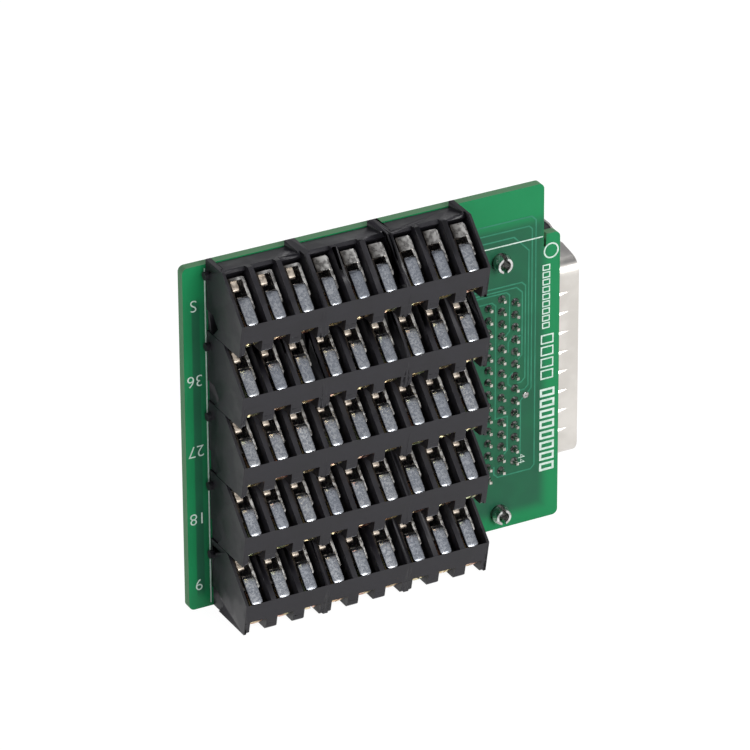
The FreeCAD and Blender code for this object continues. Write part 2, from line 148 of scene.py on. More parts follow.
def put_in_scene(name: str, data: bpy.types.ID) -> bpy.types.Object:
    """Make an object of a mesh, a lamp or a camera, and link it to the scene.

    Args:
        name: Name of the object.
        data: What it shows.

    Returns:
        The new object.
    """
    made = bpy.data.objects.new(name, data)
    bpy.context.scene.collection.objects.link(made)
    return made


def make_piece(
    name: str,
    points: np.ndarray,
    faces: list[list[int]],
    material: bpy.types.Material,
    slot: str,
    smooth: float = 40.0,
) -> bpy.types.Object:
    """Put a mesh in the scene, turn its faces outwards and let it ride on the board.

    Args:
        name: Name of the piece.
        points: Points in metres.
        faces: Faces as lists of vertex numbers.
        material: Finish of the piece.
        slot: The record's material slot, which is not used.
        smooth: Edges that bend by less than this many degrees are shaded smooth.

    Returns:
        The new object.
    """
    mesh = bpy.data.meshes.new(name)
    mesh.from_pydata(points.tolist(), [], faces)
    return finish_piece(name, mesh, material, smooth)


def finish_piece(
    name: str,
    mesh: bpy.types.Mesh,
    material: bpy.types.Material,
    smooth: float,
    body: str = BODY,
) -> bpy.types.Object:
    """Give a mesh outward faces, smooth shading, a finish and a body to ride on.

    Args:
        name: Name of the piece.
        mesh: The mesh.
        material: Finish of the piece.
        smooth: Edges that bend by less than this many degrees are shaded smooth.
        body: The body that it rides on.

    Returns:
        The new object.
    """
    shape = bmesh.new()
    shape.from_mesh(mesh)
    bmesh.ops.recalc_face_normals(shape, faces=shape.faces)
    shape.to_mesh(mesh)
    shape.free()
    mesh.materials.clear()
    mesh.materials.append(material)
    mesh.shade_smooth()
    mesh.set_sharp_from_angle(angle=math.radians(smooth))
    piece = put_in_scene(name, mesh)
    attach(piece, body)
    log.info("%s: %d faces", name, len(mesh.polygons))
    return piece


def soften_edges(
    piece: bpy.types.Object, width: float, segments: int = 2, angle: float = 30.0
) -> None:
    """Round a piece's sharp edges, and leave its flat faces flat.

    Args:
        piece: The piece.
        width: Width of the rounding in millimetres.
        segments: Faces across the rounding.
        angle: Edges that bend by more than this many degrees are rounded.
    """
    bevel = piece.modifiers.new("soft_edges", "BEVEL")
    bevel.width = width * MM
    bevel.segments = segments
    bevel.limit_method = "ANGLE"
    bevel.angle_limit = math.radians(angle)
    bevel.harden_normals = True


@dataclass
class NodeSheet:
    """A material's node tree, with short ways to add and join nodes."""

    tree: bpy.types.NodeTree

    def add(self, kind: str, **values: object) -> bpy.types.Node:
        """Add a node and set its properties.

        Args:
            kind: The node's type.
            **values: Its properties by name.

        Returns:
            The node.
        """
        node = self.tree.nodes.new(kind)
        for key, value in values.items():
            setattr(node, key, value)
        return node

    def join(self, output: bpy.types.NodeSocket, target: bpy.types.NodeSocket) -> None:
        """Join two sockets."""
        self.tree.links.new(output, target)

    def preset(self, node: bpy.types.Node, values: dict[str, float]) -> None:
        """Write fixed values into a node's inputs."""
        for label, value in values.items():
            node.inputs[label].default_value = value

    def relief(
        self,
        height: bpy.types.NodeSocket,
        strength: float,
        distance: float,
        shader: bpy.types.Node,
    ) -> None:
        """Raise and lower a shader's surface.

        Args:
            height: Where it stands out.
            strength: Share of the full effect.
            distance: Height in metres that a value of 1 stands for.
            shader: The shader.
        """
        bump = self.add("ShaderNodeBump")
        self.preset(bump, {"Strength": strength, "Distance": distance})
        self.join(height, bump.inputs["Height"])
        self.join(bump.outputs["Normal"], shader.inputs["Normal"])

    def noise(
        self, vector: bpy.types.NodeSocket, scale: float, detail: float = 3.0
    ) -> bpy.types.Node:
        """Add a noise texture.

        Args:
            vector: The places that it is read at.
            scale: About how many of its patches go into a metre.
            detail: How many finer layers it has.

        Returns:
            The node.
        """
        node = self.add("ShaderNodeTexNoise")
        self.preset(node, {"Scale": scale, "Detail": detail})
        self.join(vector, node.inputs["Vector"])
        return node

    def remap(
        self, value: bpy.types.NodeSocket, start: float, end: float, low: float, high: float
    ) -> bpy.types.NodeSocket:
        """Carry start..end smoothly over to low..high.

        Args:
            value: The value that is carried over.
            start: Where it begins to change.
            end: Where it stops changing.
            low: The result at the start.
            high: The result at the end.

        Returns:
            The result.
        """
        node = self.add("ShaderNodeMapRange", interpolation_type="SMOOTHSTEP")
        ends = {"From Min": start, "From Max": end, "To Min": low, "To Max": high}
        self.preset(node, ends)
        self.join(value, node.inputs["Value"])
        return node.outputs["Result"]

    def math(
        self, operation: str, first: bpy.types.NodeSocket, second: bpy.types.NodeSocket | float
    ) -> bpy.types.NodeSocket:
        """Add a two-input sum, product, minimum or the like.

        Args:
            operation: Its name.
            first: The first value.
            second: The second value, or a number.

        Returns:
            The result.
        """
        node = self.add("ShaderNodeMath", operation=operation)
        self.join(first, node.inputs[0])
        if isinstance(second, float):
            node.inputs[1].default_value = second
        else:
            self.join(second, node.inputs[1])
        return node.outputs[0]

    def blend(
        self,
        factor: bpy.types.NodeSocket,
        first: tuple[float, ...] | bpy.types.NodeSocket,
        second: tuple[float, ...] | bpy.types.NodeSocket,
    ) -> bpy.types.NodeSocket:
        """Mix two colours, each a written colour or another node's output.

        Args:
            factor: The second colour's share.
            first: The first colour.
            second: The second colour.

        Returns:
            The mixed colour.
        """
        node = self.add("ShaderNodeMix", data_type="RGBA")
        self.join(factor, node.inputs["Factor"])
        for socket, colour in ((node.inputs[6], first), (node.inputs[7], second)):
            if isinstance(colour, tuple):
                socket.default_value = (*colour, 1.0)
            else:
                self.join(colour, socket)
        return node.outputs[2]


def start_material(name: str) -> tuple[bpy.types.Material, NodeSheet, bpy.types.Node]:
    """Start a material.

    Args:
        name: Its name.

    Returns:
        The material, its node sheet and its shader.
    """
    made = bpy.data.materials.new(name)
    made.use_nodes = True
    return made, NodeSheet(made.node_tree), made.node_tree.nodes["Principled BSDF"]


def mottle_group() -> bpy.types.NodeTree:
    """Build the shared group that breaks up a surface with cloudy patches and fine grain.

    The patch mask is a broad noise sharpened by a smooth step, and the height adds a fine
    noise to it in the share that Grain gives.

    Returns:
        The node group, with inputs Vector, Patch Scale, Grain Scale and Grain, and outputs
        Mask and Height.
    """
    name = "cloudy_patches"
    if name in bpy.data.node_groups:
        return bpy.data.node_groups[name]
    group = bpy.data.node_groups.new(name, "ShaderNodeTree")
    group.interface.new_socket("Vector", in_out="INPUT", socket_type="NodeSocketVector")
    for label, value in (("Patch Scale", 900.0), ("Grain Scale", 9000.0), ("Grain", 0.3)):
        socket = group.interface.new_socket(label, in_out="INPUT", socket_type="NodeSocketFloat")
        socket.default_value = value
    for label in ("Mask", "Height"):
        group.interface.new_socket(label, in_out="OUTPUT", socket_type="NodeSocketFloat")
    sheet = NodeSheet(group)
    entry = sheet.add("NodeGroupInput")
    result = sheet.add("NodeGroupOutput")
    patches = sheet.noise(entry.outputs["Vector"], 1.0, 4.0)
    grain = sheet.noise(entry.outputs["Vector"], 1.0, 2.0)
    sheet.join(entry.outputs["Patch Scale"], patches.inputs["Scale"])
    sheet.join(entry.outputs["Grain Scale"], grain.inputs["Scale"])
    mask = sheet.remap(patches.outputs["Fac"], 0.35, 0.65, 0.0, 1.0)
    share = sheet.math("MULTIPLY", grain.outputs["Fac"], entry.outputs["Grain"])
    sheet.join(mask, result.inputs["Mask"])
    sheet.join(sheet.math("ADD", mask, share), result.inputs["Height"])
    return group


@dataclass(frozen=True)
class MottledFinish:
    """A finish of two near colours in cloudy patches, with grain in its relief."""

    name: str
    dark: tuple[float, float, float]
    light: tuple[float, float, float]
    metallic: float
    rough_low: float
    rough_high: float
    patch_scale: float = 900.0
    grain_scale: float = 9000.0
    grain: float = 0.3
    bump: float = 0.1
    relief: float = 0.00001
    specular: float = 0.5
    # A point attribute and a second colour that it blends in: random tone on the guard leaves,
    # painted shade on the cages' left walls.
    tone_and_shade: str = ""
    tone_and_shade_colour: tuple[float, float, float] = (0.5, 0.5, 0.5)

    def material(self) -> bpy.types.Material:
        """Build the material.

        Returns:
            A material with the shader in it and the shared patch group behind it.
        """
        made, sheet, shader = start_material(self.name)
        sheet.preset(shader, {"Metallic": self.metallic, "Specular IOR Level": self.specular})
        place = sheet.add("ShaderNodeTexCoord").outputs["Object"]
        group = sheet.add("ShaderNodeGroup", node_tree=mottle_group())
        scales = {"Patch Scale": self.patch_scale, "Grain Scale": self.grain_scale}
        sheet.preset(group, {**scales, "Grain": self.grain})
        sheet.join(place, group.inputs["Vector"])
        mask = group.outputs["Mask"]
        colour = sheet.blend(mask, self.dark, self.light)
        if self.tone_and_shade:
            share = sheet.add("ShaderNodeAttribute", attribute_name=self.tone_and_shade)
            colour = sheet.blend(share.outputs["Fac"], colour, self.tone_and_shade_colour)
        sheet.join(colour, shader.inputs["Base Color"])
        rough = sheet.remap(mask, 0.0, 1.0, self.rough_low, self.rough_high)
        sheet.join(rough, shader.inputs["Roughness"])
        sheet.relief(group.outputs["Height"], self.bump, self.relief, shader)
        return made


class Finish(Enum):
    """The finishes of the object's pieces."""

    HOUSING = MottledFinish(
        "housing_plastic", (0.011, 0.010, 0.013), (0.017, 0.016, 0.020), 0.0, 0.40, 0.54,
        patch_scale=260.0, grain_scale=7000.0, bump=0.12, specular=0.34,
    )
    INSULATOR = MottledFinish(
        "insulator_plastic", (0.008, 0.008, 0.009), (0.014, 0.013, 0.015), 0.0, 0.40, 0.52,
        patch_scale=300.0, grain_scale=6000.0, bump=0.12, specular=0.3,
    )
    # The cages' dark second colour is painted shade, laid on their left walls.
    CAGE = MottledFinish(
        "cage_tin", (0.58, 0.55, 0.51), (0.88, 0.86, 0.82), 1.0, 0.26, 0.42,
        patch_scale=1300.0, bump=0.12, tone_and_shade="tone_and_shade", tone_and_shade_colour=(0.05, 0.042, 0.036),
    )
    STOP = MottledFinish(
        "stop_tin", (0.40, 0.34, 0.28), (0.62, 0.55, 0.47), 1.0, 0.42, 0.58,
        patch_scale=1700.0, bump=0.08,
    )
    GUARD = MottledFinish(
        "guard_tin", (0.58, 0.60, 0.64), (0.74, 0.75, 0.76), 1.0, 0.24, 0.32,
        patch_scale=2600.0, grain_scale=9000.0, bump=0.025,
        tone_and_shade="tone_and_shade", tone_and_shade_colour=(0.48, 0.51, 0.57),
    )
    SHELL = MottledFinish(
        "shell_plating", (0.62, 0.59, 0.55), (0.70, 0.67, 0.63), 1.0, 0.28, 0.36,
        patch_scale=220.0, grain_scale=5000.0, bump=0.03,
    )
    CONTACT = MottledFinish(
        "contact_plating", (0.30, 0.29, 0.26), (0.62, 0.60, 0.55), 1.0, 0.18, 0.34,
        patch_scale=1800.0,
    )
    LOCK = MottledFinish(
        "lock_plating", (0.30, 0.30, 0.29), (0.74, 0.74, 0.73), 1.0, 0.12, 0.3,
        patch_scale=1100.0, bump=0.2, relief=0.00002,
    )
    INSERT = MottledFinish(
        "insert_plating", (0.52, 0.50, 0.46), (0.66, 0.63, 0.58), 1.0, 0.25, 0.38
    )
    SOLDER = MottledFinish(
        "solder", (0.16, 0.16, 0.15), (0.46, 0.46, 0.44), 1.0, 0.16, 0.4,
        patch_scale=1900.0, bump=0.3, relief=0.00003,
    )
    PRINT = MottledFinish(
        "white_print", (0.52, 0.66, 0.58), (0.66, 0.77, 0.70), 0.0, 0.5, 0.65,
        patch_scale=1500.0, bump=0.1, specular=0.2,
    )
    TRACE = MottledFinish(
        "masked_trace", (0.030, 0.190, 0.110), (0.040, 0.225, 0.135), 0.0, 0.3, 0.4,
        patch_scale=500.0, bump=0.05, specular=0.15,
    )


@lru_cache(maxsize=None)
def made_of(finish: Finish) -> bpy.types.Material:
    """Build a finish's material the first time, and give the same one after that."""
    return finish.value.material()


@dataclass(frozen=True)
class PassivatedScrew:
    """The clamp screws' finish: heads stained yellow, green and red, and shanks painted dark as
    shade in their bores.
    """

    gold: tuple[float, float, float] = (0.78, 0.62, 0.30)
    green: tuple[float, float, float] = (0.56, 0.64, 0.36)
    red: tuple[float, float, float] = (0.68, 0.34, 0.22)
    # Painted shade: the shanks lie deep in the housings' bores and are painted this dark colour.
    shank: tuple[float, float, float] = (0.05, 0.045, 0.04)
    stain_scale: float = 330.0
    red_to_gold: tuple[float, float] = (0.36, 0.52)
    gold_to_green: tuple[float, float] = (0.52, 0.64)
    grain_scale: float = 5000.0
    rough: tuple[float, float] = (0.2, 0.36)

    def material(self) -> bpy.types.Material:
        """Build the material.

        The point attribute "shank" is 0 on the heads and 1 on the shanks.

        Returns:
            The material.
        """
        made, sheet, shader = start_material("screw_passivated")
        sheet.preset(shader, {"Metallic": 1.0})
        place = sheet.add("ShaderNodeTexCoord").outputs["Object"]
        stain = sheet.noise(place, self.stain_scale, 2.0).outputs["Fac"]
        golden = sheet.remap(stain, *self.red_to_gold, 0.0, 1.0)
        greenish = sheet.remap(stain, *self.gold_to_green, 0.0, 1.0)
        colour = sheet.blend(golden, self.red, self.gold)
        colour = sheet.blend(greenish, colour, self.green)
        body = sheet.add("ShaderNodeAttribute", attribute_name="shank").outputs["Fac"]
        # The shanks take the painted shade colour, and the heads the stained colour.
        sheet.join(sheet.blend(body, colour, self.shank), shader.inputs["Base Color"])
        grain = sheet.noise(place, self.grain_scale, 2.0).outputs["Fac"]
        sheet.join(sheet.remap(grain, *NOISE_RANGE, *self.rough), shader.inputs["Roughness"])
        return made


@dataclass(frozen=True)
class MaskedBoard:
    """The board's finish: green mask, darker over the inner copper, and a pale cut edge."""

    over_copper: tuple[float, float, float] = (0.018, 0.100, 0.054)
    clear: tuple[float, float, float] = (0.013, 0.215, 0.078)
    edge: tuple[float, float, float] = (0.105, 0.235, 0.125)
    border: float = 2.6
    blur: float = 2.6
    top_border: float = 6.4
    specular: float = 0.14
    run_left: tuple[float, float] = (1.35, 1.7)
    run_right: tuple[float, float] = (2.75, 3.1)
    beyond_run: float = 0.45
    under_rows: tuple[float, float] = (10.0, 20.0)
    tint_scale: float = 160.0
    tint_low: float = 0.85
    face_rough: float = 0.3
    edge_rough: float = 0.7
    weave_scale: float = 900.0
    weave_distortion: float = 1.5
    weave_bump: float = 0.05
    weave_relief: float = 0.01
    facing: tuple[float, float] = (0.6, 0.8)

    def material(self, plane: "BoardPlane") -> bpy.types.Material:
        """Build the material.

        The copper mask is the least distance from a point to the board's right, lower and
        upper borders, taken through a smooth step. A narrow dark run crosses the left strip,
        and the mask beyond it is lighter.

        Args:
            plane: Where the board's front lies.

        Returns:
            The material.
        """
        made, sheet, shader = start_material("masked_board")
        coordinates = sheet.add("ShaderNodeTexCoord")
        place = coordinates.outputs["Object"]
        split = sheet.add("ShaderNodeSeparateXYZ")
        sheet.join(place, split.inputs[0])
        sheet.preset(shader, {"Specular IOR Level": self.specular})
        left = sheet.math("SUBTRACT", split.outputs["X"], plane.left)
        right = sheet.math("MULTIPLY_ADD", split.outputs["X"], -1.0)
        right.node.inputs[2].default_value = plane.right
        low = sheet.math("SUBTRACT", split.outputs["Z"], plane.bottom)
        high = sheet.math("MULTIPLY_ADD", split.outputs["Z"], -1.0)
        high.node.inputs[2].default_value = plane.top - (self.top_border - self.border) * MM
        nearest = sheet.math("MINIMUM", right, sheet.math("MINIMUM", low, high))
        start = (self.border - self.blur / 2) * MM
        inner = sheet.remap(nearest, start, start + self.blur * MM, 0.0, 1.0)
        run_start, run_end = self.run_left
        strip = sheet.remap(left, run_start * MM, run_end * MM, 0.0, 1.0)
        run_start, run_end = self.run_right
        beyond = sheet.remap(left, run_start * MM, run_end * MM, 1.0, self.beyond_run)
        far_start, far_end = self.under_rows
        far = sheet.remap(left, far_start * MM, far_end * MM, 0.0, 1.0)
        strip = sheet.math("MULTIPLY", strip, sheet.math("MAXIMUM", beyond, far))
        copper = sheet.math("MULTIPLY", inner, strip)
        flat = sheet.noise(place, self.tint_scale, 2.0)
        tint = sheet.remap(flat.outputs["Fac"], *NOISE_RANGE, self.tint_low, 1.0)
        face = sheet.blend(sheet.math("MULTIPLY", copper, tint), self.clear, self.over_copper)
        facing = sheet.add("ShaderNodeSeparateXYZ")
        sheet.join(coordinates.outputs["Normal"], facing.inputs[0])
        steep = sheet.add("ShaderNodeMath", operation="ABSOLUTE")
        sheet.join(facing.outputs["Y"], steep.inputs[0])
        on_face = sheet.remap(steep.outputs[0], *self.facing, 0.0, 1.0)
        sheet.join(sheet.blend(on_face, self.edge, face), shader.inputs["Base Color"])
        rough = sheet.remap(on_face, 0.0, 1.0, self.edge_rough, self.face_rough)
        sheet.join(rough, shader.inputs["Roughness"])
        weave = sheet.add("ShaderNodeTexWave", bands_direction="DIAGONAL")
        sheet.preset(weave, {"Scale": self.weave_scale, "Distortion": self.weave_distortion})
        sheet.join(place, weave.inputs["Vector"])
        sheet.relief(weave.outputs["Fac"], self.weave_bump, self.weave_relief * MM, shader)
        return made


@dataclass(frozen=True)
class BoardPlane:
    """The board's front face and the way from board places in millimetres to the frame."""

    left: float
    right: float
    bottom: float
    top: float
    front: float
    back: float

    @classmethod
    def from_frame(cls) -> "BoardPlane":
        """Read the board's place from the frame.

        Returns:
            The place of its front face.
        """
        low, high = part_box("circuit_board")
        return cls(low.x, high.x, low.z, high.z, low.y, high.y)

    def points(self, across: np.ndarray, up: np.ndarray, proud: np.ndarray | float) -> np.ndarray:
        """Carry places on the board over to the frame.

        Args:
            across: Distance from the board's left edge, in millimetres.
            up: Distance from its lower edge, in millimetres.
            proud: Height over its front face, in millimetres.

        Returns:
            Points of the frame.
        """
        across, up, proud = np.broadcast_arrays(across, up, proud)
        return np.stack(
            (self.left + across * MM, self.front - proud * MM, self.bottom + up * MM), axis=-1
        )

    def read(self, mesh: bpy.types.Mesh) -> np.ndarray:
        """Read a mesh's points in the board's millimetres.

        Args:
            mesh: The mesh.

        Returns:
            Its points as distance across, back from the front face, and up.
        """
        return (mesh_points(mesh).astype(float) - self.corner()) / MM

    def write(self, mesh: bpy.types.Mesh, places: np.ndarray) -> None:
        """Move a mesh's points.

        Args:
            mesh: The mesh.
            places: Their new places in the board's millimetres.
        """
        mesh.vertices.foreach_set("co", (places * MM + self.corner()).astype(np.float32).ravel())
        mesh.update()

    def corner(self) -> np.ndarray:
        """The board's lower left front corner in the frame."""
        return np.array((self.left, self.front, self.bottom))


@dataclass
class Ribbons:
    """Flat strips that lie on the board's front and follow paths, as traces and print do."""

    plane: BoardPlane
    thickness: float
    sunk: float = 0.01
    points: list[np.ndarray] = field(default_factory=list)
    faces: list[list[int]] = field(default_factory=list)

    def add(self, path: Sequence[tuple[float, float]], width: float, closed: bool = False) -> None:
        """Add one strip.

        Each path point moves to either side along the mean of the normals of its two
        stretches, over the cosine of half the turn, so that corners are mitred.

        Args:
            path: Board places in millimetres.
            width: Width of the strip in millimetres.
            closed: Whether the last point joins the first.
        """
        line = np.array(path, float)
        if closed:
            line = np.vstack((line, line[:1]))
        steps = np.diff(line, axis=0)
        steps /= np.linalg.norm(steps, axis=1, keepdims=True)
        normals = np.stack((-steps[:, 1], steps[:, 0]), axis=1)
        before = np.vstack((normals[-1:] if closed else normals[:1], normals))
        after = np.vstack((normals, normals[:1] if closed else normals[-1:]))
        share = 1.0 + np.sum(before * after, axis=1, keepdims=True)
        side = (before + after) / share * width / 2
        across = np.stack((line + side, line + side, line - side, line - side), axis=1)
        proud = np.array((-self.sunk, self.thickness, self.thickness, -self.sunk))
        section = self.plane.points(across[..., 0], across[..., 1], proud[None, :])
        points, faces = closed_tubes(section[None])
        start = sum(len(block) for block in self.points)
        self.points.append(points)
        self.faces += [[number + start for number in face] for face in faces]

    def piece(self, name: str, finish: Finish) -> bpy.types.Object:
        """Make all the strips one piece.

        Args:
            name: Name of the piece.
            finish: Its finish.

        Returns:
            The new object.
        """
        return make_piece(name, np.vstack(self.points), self.faces, made_of(finish), "board")


@dataclass
class Contacts:
    """Where the plug's solder tails come through the board, in board millimetres."""

    columns: tuple[float, ...] = (60.85, 58.31, 55.77)
    counts: tuple[int, ...] = (14, 15, 15)
    shifts: tuple[float, ...] = (0.25, 0.25, -0.25)
    pitch: float = 2.29
    middle: float = 26.52

    def places(self) -> np.ndarray:
        """Find every tail's place.

        Returns:
            Across and up of each tail.
        """
        rows = [
            np.stack((np.full(count, column), self.heights(count, shift)), axis=1)
            for column, count, shift in zip(self.columns, self.counts, self.shifts)
        ]
        return np.vstack(rows)

    def heights(self, count: int, shift: float) -> np.ndarray:
        """Heights of the tails of one column."""
        return self.middle + (shift + np.arange(count) - (count - 1) / 2) * self.pitch


@dataclass
class SolderWork:
    """Solder cones round the tails in front, mounds round the tabs behind and a filled via."""

    plane: BoardPlane
    contacts: Contacts
    cone_radius: float = 0.72
    cone_height: float = 0.9
    mound_radius: float = 1.05
    mound_height: float = 1.1
    tab_height: float = 6.56
    row_pitch: float = 12.7
    pole_pitch: float = 5.0
    first_pole: float = 6.7
    rows: int = 5
    poles: int = 9
    via: tuple[float, float] = (63.0, 24.1)
    via_dome: tuple[tuple[float, float], ...] = (
        (0.62, -0.01), (0.6, 0.03), (0.45, 0.10), (0.25, 0.15), (0.05, 0.17),
    )
    cone_core: float = 0.3
    mound_core: float = 0.5
    sunk: float = 0.01
    rings: int = 8
    segments: int = 20
    smooth: float = 60.0

    def lathe(self, profile: np.ndarray, places: np.ndarray, side: float) -> np.ndarray:
        """Turned shapes that stand on the board.

        A point is the place plus radius times the cosine and sine of its angle, and stands
        off the face by the profile's height.

        Args:
            profile: Radius and height of each ring, in millimetres.
            places: Across and up of each shape, in millimetres.
            side: 1 for the front face, and -1 for the back face.

        Returns:
            Sections for closed_tubes.
        """
        turn = np.arange(self.segments) * 2 * np.pi / self.segments
        across = places[:, None, None, 0] + profile[None, :, None, 0] * np.cos(turn)
        up = places[:, None, None, 1] + profile[None, :, None, 0] * np.sin(turn)
        base = 0.0 if side > 0 else -(self.plane.back - self.plane.front) / MM
        proud = base + side * profile[None, :, None, 1]
        return self.plane.points(across, up, proud)

    def meniscus(self, radius: float, core: float, height: float) -> np.ndarray:
        """Profile of a wetted fillet.

        The radius falls from the pad's edge to the core as the cube of what is left of the
        height, so the fillet is hollow at its foot.

        Args:
            radius: Radius at the pad.
            core: Radius at the top.
            height: Height of the fillet.

        Returns:
            Radius and height of each ring, in millimetres.
        """
        share = np.linspace(0.0, 1.0, self.rings)
        rise = share * height
        reach = core + (radius - core) * (1.0 - share) ** 3
        start = np.array([[radius, -self.sunk]])
        return np.vstack((start, np.stack((reach, rise), axis=1)))

    def build(self) -> None:
        """Make the solder joints on both faces."""
        finish = made_of(Finish.SOLDER)
        cone = self.meniscus(self.cone_radius, self.cone_core, self.cone_height)
        cones = self.lathe(cone, self.contacts.places(), 1.0)
        make_piece("contact_solder", *closed_tubes(cones), finish, "contact_metal", self.smooth)
        across = self.first_pole + np.arange(self.poles) * self.pole_pitch
        up = self.tab_height + np.arange(self.rows) * self.row_pitch
        grid = np.stack(np.meshgrid(across, up), axis=-1).reshape(-1, 2)
        mound = self.meniscus(self.mound_radius, self.mound_core, self.mound_height)
        mounds = self.lathe(mound, grid, -1.0)
        make_piece("tab_solder", *closed_tubes(mounds), finish, "tinned_sheet", self.smooth)
        filled = self.lathe(np.array(self.via_dome), np.array([self.via]), 1.0)
        make_piece("filled_via", *closed_tubes(filled), finish, "board", self.smooth)


# The traces' paths, across and up the board.
TRACES = (
    (
        (49.6, 57.0), (63.9, 57.0), (64.7, 56.2), (64.7, 10.6), (64.0, 9.9),
        (57.7, 9.9), (57.0, 10.6), (57.0, 12.0),
    ),
    ((49.6, 55.3), (63.4, 55.3), (64.0, 54.7), (64.0, 25.3), (63.2, 24.4)),
    ((49.6, 53.9), (60.6, 53.9), (63.4, 50.9), (63.4, 26.0), (62.7, 25.3), (61.4, 25.3)),
    ((49.6, 45.3), (62.1, 45.3), (62.8, 44.6), (62.8, 27.5), (62.1, 26.8), (61.4, 26.8)),
    ((49.6, 44.6), (61.1, 44.6), (62.2, 43.5), (62.2, 31.9), (61.5, 31.2)),
    ((49.6, 44.1), (59.2, 44.1), (59.8, 43.5), (59.8, 36.8), (59.0, 36.0)),
    (
        (49.6, 42.8), (56.5, 42.8), (57.2, 42.1), (57.2, 21.0), (59.5, 21.0), (59.5, 14.6),
        (58.9, 14.0),
    ),
    ((59.6, 32.9), (59.6, 34.8), (60.3, 35.5), (62.2, 35.5)),
    ((62.8, 24.1), (62.0, 23.3), (62.0, 13.2)),
    ((60.5, 29.0), (59.6, 28.1), (59.6, 27.0), (60.4, 26.2)),
)


@dataclass(frozen=True)
class EmptyFrames:
    """A column of printed frames with nothing in them, down the board's right edge."""

    left: float
    top: float
    step: float
    count: int
    width: float
    height: float
    stroke: float

    def print_on(self, strips: Ribbons) -> None:
        """Add the frames to the print.

        Args:
            strips: The strips that the print is made of.
        """
        right = self.left + self.width
        for number in range(self.count):
            top = self.top - self.step * number
            foot = top - self.height
            corners = [(self.left, top), (right, top), (right, foot), (self.left, foot)]
            strips.add(corners, self.stroke, True)


FRAMES = (
    EmptyFrames(66.1, 47.4, step=1.34, count=9, width=1.25, height=0.9, stroke=0.2),
    EmptyFrames(65.9, 34.4, step=2.2, count=4, width=2.2, height=1.5, stroke=0.24),
    EmptyFrames(65.9, 24.2, step=2.0, count=8, width=2.4, height=1.1, stroke=0.4),
)


@dataclass
class Printing:
    """White print and masked traces on the board's front."""

    plane: BoardPlane
    thickness: float = 0.05
    trace_thickness: float = 0.025
    trace_width: float = 0.24
    line_width: float = 0.2
    row_labels: tuple[str, ...] = ("9", "18", "27", "36", "S")
    label_heights: tuple[float, ...] = (4.6, 16.9, 29.3, 42.1, 55.6)
    label_across: float = 1.87
    label_size: float = 3.0
    thinning: float = 0.035
    curve_steps: int = 4
    smooth: float = 30.0
    last_contact: str = "44"
    last_contact_place: tuple[float, float] = (62.2, 12.3)
    last_contact_size: float = 1.9
    upper_line: tuple[tuple[float, float], ...] = ((49.2, 52.8), (66.0, 52.8))
    left_line: tuple[tuple[float, float], ...] = ((3.97, 0.6), (3.97, 61.8))
    ring_place: tuple[float, float] = (67.6, 49.9)
    ring_radius: float = 1.3
    ring_width: float = 0.26
    ring_steps: int = 24

    def number(
        self, text: str, across: float, up: float, size: float, turn: Turn
    ) -> bpy.types.Mesh:
        """Make a number a mesh that lies on the board.

        Args:
            text: The number.
            across: Where its middle is along the board, in millimetres.
            up: Where its middle is up the board, in millimetres.
            size: Letter size in millimetres.
            turn: Which way it stands.

        Returns:
            The mesh, in the frame's metres.
        """
        curve = bpy.data.curves.new("number", "FONT")
        curve.body = text
        curve.size = size * MM
        curve.align_x = "CENTER"
        curve.align_y = "CENTER"
        curve.extrude = self.thickness / 2 * MM
        curve.offset = -self.thinning * MM
        curve.resolution_u = self.curve_steps
        source = bpy.data.objects.new("number", curve)
        mesh = bpy.data.meshes.new_from_object(source)
        bpy.data.objects.remove(source)
        spot = self.plane.points(np.array(across), np.array(up), self.thickness / 2)
        stand = Matrix.Rotation(math.radians(90.0), 4, "X")
        spin = Matrix.Rotation(math.radians(turn.value), 4, "Z")
        mesh.transform(Matrix.Translation(Vector(spot.tolist())) @ stand @ spin)
        return mesh

    def numbers(self) -> None:
        """Print the row numbers and the last contact's number."""
        meshes = [
            self.number(text, self.label_across, up, self.label_size, Turn.UPSIDE_DOWN)
            for text, up in zip(self.row_labels, self.label_heights)
        ]
        place, size = self.last_contact_place, self.last_contact_size
        meshes.append(self.number(self.last_contact, *place, size, Turn.READS_DOWN))
        shape = bmesh.new()
        for mesh in meshes:
            shape.from_mesh(mesh)
        merged = bpy.data.meshes.new("printed_numbers")
        shape.to_mesh(merged)
        shape.free()
        finish_piece("printed_numbers", merged, made_of(Finish.PRINT), self.smooth)

    def lines(self) -> None:
        """Print the outline round the terminals and plain marks down the right edge."""
        strips = Ribbons(self.plane, self.thickness)
        strips.add(self.upper_line, self.line_width)
        strips.add(self.left_line, self.line_width)
        turn = np.linspace(0.0, 2 * np.pi, self.ring_steps, endpoint=False)
        across, up = self.ring_place
        radius = self.ring_radius
        ring = np.stack((across + radius * np.cos(turn), up + radius * np.sin(turn)), axis=1)
        strips.add(ring.tolist(), self.ring_width, True)
        for frames in FRAMES:
            frames.print_on(strips)
        strips.piece("printed_lines", Finish.PRINT)

    def traces(self) -> None:
        """Lay the masked traces that run round and between the contact columns."""
        strips = Ribbons(self.plane, self.trace_thickness)
        for path in TRACES:
            strips.add(path, self.trace_width)
        strips.piece("masked_traces", Finish.TRACE)

    def build(self) -> None:
        """Make all the print and traces."""
        self.numbers()
        self.lines()
        self.traces()


